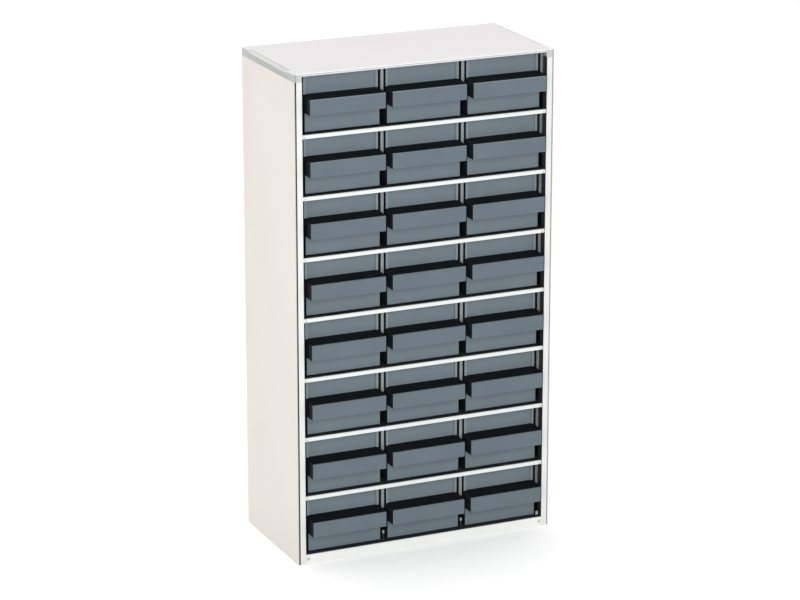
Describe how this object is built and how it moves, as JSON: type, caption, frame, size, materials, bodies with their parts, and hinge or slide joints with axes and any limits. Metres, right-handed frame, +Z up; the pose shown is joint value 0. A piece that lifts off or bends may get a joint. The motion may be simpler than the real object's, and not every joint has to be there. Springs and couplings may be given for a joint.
{
  "type": "drawer rack",
  "caption": "Upright steel small-parts rack with rows of grey pull-out drawers, each with a full-width hanging grip, between white shelf edges.",
  "frame": {"origin": "middle of the footprint, drawer handles included, on the surface the rack stands on", "axes": "+Z up, +X to the right when facing the drawers, drawers open towards -Y"},
  "size_m": [0.306, 0.159, 0.552],
  "materials": {
    "panel_white": "matt warm white powder coat",
    "frame_white": "semi-matt white powder coat",
    "guide_steel": "galvanised sheet, dull",
    "trim_grey": "satin anodised",
    "cap_grey": "matt moulded",
    "rivet_metal": "dull",
    "drawer_plastic": "moulded, fine grain, blue-grey"
  },
  "bodies": {
    "case": {"side_panel_left": "panel_white", "side_panel_right": "panel_white", "front_post_left": "frame_white", "front_post_right": "frame_white", "top_panel": "panel_white", "top_rail": "frame_white", "base_panel": "frame_white", "back_panel": "panel_white", "edge_trim_left": "trim_grey", "edge_trim_right": "trim_grey", "corner_caps": "cap_grey", "shelf_rivets": "rivet_metal", "plinth_rivets": "rivet_metal", "back_rivets": "rivet_metal", "shelf_1": "frame_white", "shelf_2": "frame_white", "shelf_3": "frame_white", "shelf_4": "frame_white", "shelf_5": "frame_white", "shelf_6": "frame_white", "shelf_7": "frame_white", "row_1_guides": "guide_steel", "row_2_guides": "guide_steel", "row_3_guides": "guide_steel", "row_4_guides": "guide_steel", "row_5_guides": "guide_steel", "row_6_guides": "guide_steel", "row_7_guides": "guide_steel", "row_8_guides": "guide_steel"},
    "drawer_row1_col1_body": {"drawer_row1_col1": "drawer_plastic"},
    "drawer_row1_col2_body": {"drawer_row1_col2": "drawer_plastic"},
    "drawer_row1_col3_body": {"drawer_row1_col3": "drawer_plastic"},
    "drawer_row2_col1_body": {"drawer_row2_col1": "drawer_plastic"},
    "drawer_row2_col2_body": {"drawer_row2_col2": "drawer_plastic"},
    "drawer_row2_col3_body": {"drawer_row2_col3": "drawer_plastic"},
    "drawer_row3_col1_body": {"drawer_row3_col1": "drawer_plastic"},
    "drawer_row3_col2_body": {"drawer_row3_col2": "drawer_plastic"},
    "drawer_row3_col3_body": {"drawer_row3_col3": "drawer_plastic"},
    "drawer_row4_col1_body": {"drawer_row4_col1": "drawer_plastic"},
    "drawer_row4_col2_body": {"drawer_row4_col2": "drawer_plastic"},
    "drawer_row4_col3_body": {"drawer_row4_col3": "drawer_plastic"},
    "drawer_row5_col1_body": {"drawer_row5_col1": "drawer_plastic"},
    "drawer_row5_col2_body": {"drawer_row5_col2": "drawer_plastic"},
    "drawer_row5_col3_body": {"drawer_row5_col3": "drawer_plastic"},
    "drawer_row6_col1_body": {"drawer_row6_col1": "drawer_plastic"},
    "drawer_row6_col2_body": {"drawer_row6_col2": "drawer_plastic"},
    "drawer_row6_col3_body": {"drawer_row6_col3": "drawer_plastic"},
    "drawer_row7_col1_body": {"drawer_row7_col1": "drawer_plastic"},
    "drawer_row7_col2_body": {"drawer_row7_col2": "drawer_plastic"},
    "drawer_row7_col3_body": {"drawer_row7_col3": "drawer_plastic"},
    "drawer_row8_col1_body": {"drawer_row8_col1": "drawer_plastic"},
    "drawer_row8_col2_body": {"drawer_row8_col2": "drawer_plastic"},
    "drawer_row8_col3_body": {"drawer_row8_col3": "drawer_plastic"}
  },
  "joints": [
    {"name": "drawer_row1_col1_slide", "type": "slide", "parent": "case", "child": "drawer_row1_col1_body", "axis": [0, -1, 0], "range_m": [0, 0.115]},
    {"name": "drawer_row1_col2_slide", "type": "slide", "parent": "case", "child": "drawer_row1_col2_body", "axis": [0, -1, 0], "range_m": [0, 0.115]},
    {"name": "drawer_row1_col3_slide", "type": "slide", "parent": "case", "child": "drawer_row1_col3_body", "axis": [0, -1, 0], "range_m": [0, 0.115]},
    {"name": "drawer_row2_col1_slide", "type": "slide", "parent": "case", "child": "drawer_row2_col1_body", "axis": [0, -1, 0], "range_m": [0, 0.115]},
    {"name": "drawer_row2_col2_slide", "type": "slide", "parent": "case", "child": "drawer_row2_col2_body", "axis": [0, -1, 0], "range_m": [0, 0.115]},
    {"name": "drawer_row2_col3_slide", "type": "slide", "parent": "case", "child": "drawer_row2_col3_body", "axis": [0, -1, 0], "range_m": [0, 0.115]},
    {"name": "drawer_row3_col1_slide", "type": "slide", "parent": "case", "child": "drawer_row3_col1_body", "axis": [0, -1, 0], "range_m": [0, 0.115]},
    {"name": "drawer_row3_col2_slide", "type": "slide", "parent": "case", "child": "drawer_row3_col2_body", "axis": [0, -1, 0], "range_m": [0, 0.115]},
    {"name": "drawer_row3_col3_slide", "type": "slide", "parent": "case", "child": "drawer_row3_col3_body", "axis": [0, -1, 0], "range_m": [0, 0.115]},
    {"name": "drawer_row4_col1_slide", "type": "slide", "parent": "case", "child": "drawer_row4_col1_body", "axis": [0, -1, 0], "range_m": [0, 0.115]},
    {"name": "drawer_row4_col2_slide", "type": "slide", "parent": "case", "child": "drawer_row4_col2_body", "axis": [0, -1, 0], "range_m": [0, 0.115]},
    {"name": "drawer_row4_col3_slide", "type": "slide", "parent": "case", "child": "drawer_row4_col3_body", "axis": [0, -1, 0], "range_m": [0, 0.115]},
    {"name": "drawer_row5_col1_slide", "type": "slide", "parent": "case", "child": "drawer_row5_col1_body", "axis": [0, -1, 0], "range_m": [0, 0.115]},
    {"name": "drawer_row5_col2_slide", "type": "slide", "parent": "case", "child": "drawer_row5_col2_body", "axis": [0, -1, 0], "range_m": [0, 0.115]},
    {"name": "drawer_row5_col3_slide", "type": "slide", "parent": "case", "child": "drawer_row5_col3_body", "axis": [0, -1, 0], "range_m": [0, 0.115]},
    {"name": "drawer_row6_col1_slide", "type": "slide", "parent": "case", "child": "drawer_row6_col1_body", "axis": [0, -1, 0], "range_m": [0, 0.115]},
    {"name": "drawer_row6_col2_slide", "type": "slide", "parent": "case", "child": "drawer_row6_col2_body", "axis": [0, -1, 0], "range_m": [0, 0.115]},
    {"name": "drawer_row6_col3_slide", "type": "slide", "parent": "case", "child": "drawer_row6_col3_body", "axis": [0, -1, 0], "range_m": [0, 0.115]},
    {"name": "drawer_row7_col1_slide", "type": "slide", "parent": "case", "child": "drawer_row7_col1_body", "axis": [0, -1, 0], "range_m": [0, 0.115]},
    {"name": "drawer_row7_col2_slide", "type": "slide", "parent": "case", "child": "drawer_row7_col2_body", "axis": [0, -1, 0], "range_m": [0, 0.115]},
    {"name": "drawer_row7_col3_slide", "type": "slide", "parent": "case", "child": "drawer_row7_col3_body", "axis": [0, -1, 0], "range_m": [0, 0.115]},
    {"name": "drawer_row8_col1_slide", "type": "slide", "parent": "case", "child": "drawer_row8_col1_body", "axis": [0, -1, 0], "range_m": [0, 0.115]},
    {"name": "drawer_row8_col2_slide", "type": "slide", "parent": "case", "child": "drawer_row8_col2_body", "axis": [0, -1, 0], "range_m": [0, 0.115]},
    {"name": "drawer_row8_col3_slide", "type": "slide", "parent": "case", "child": "drawer_row8_col3_body", "axis": [0, -1, 0], "range_m": [0, 0.115]}
  ]
}
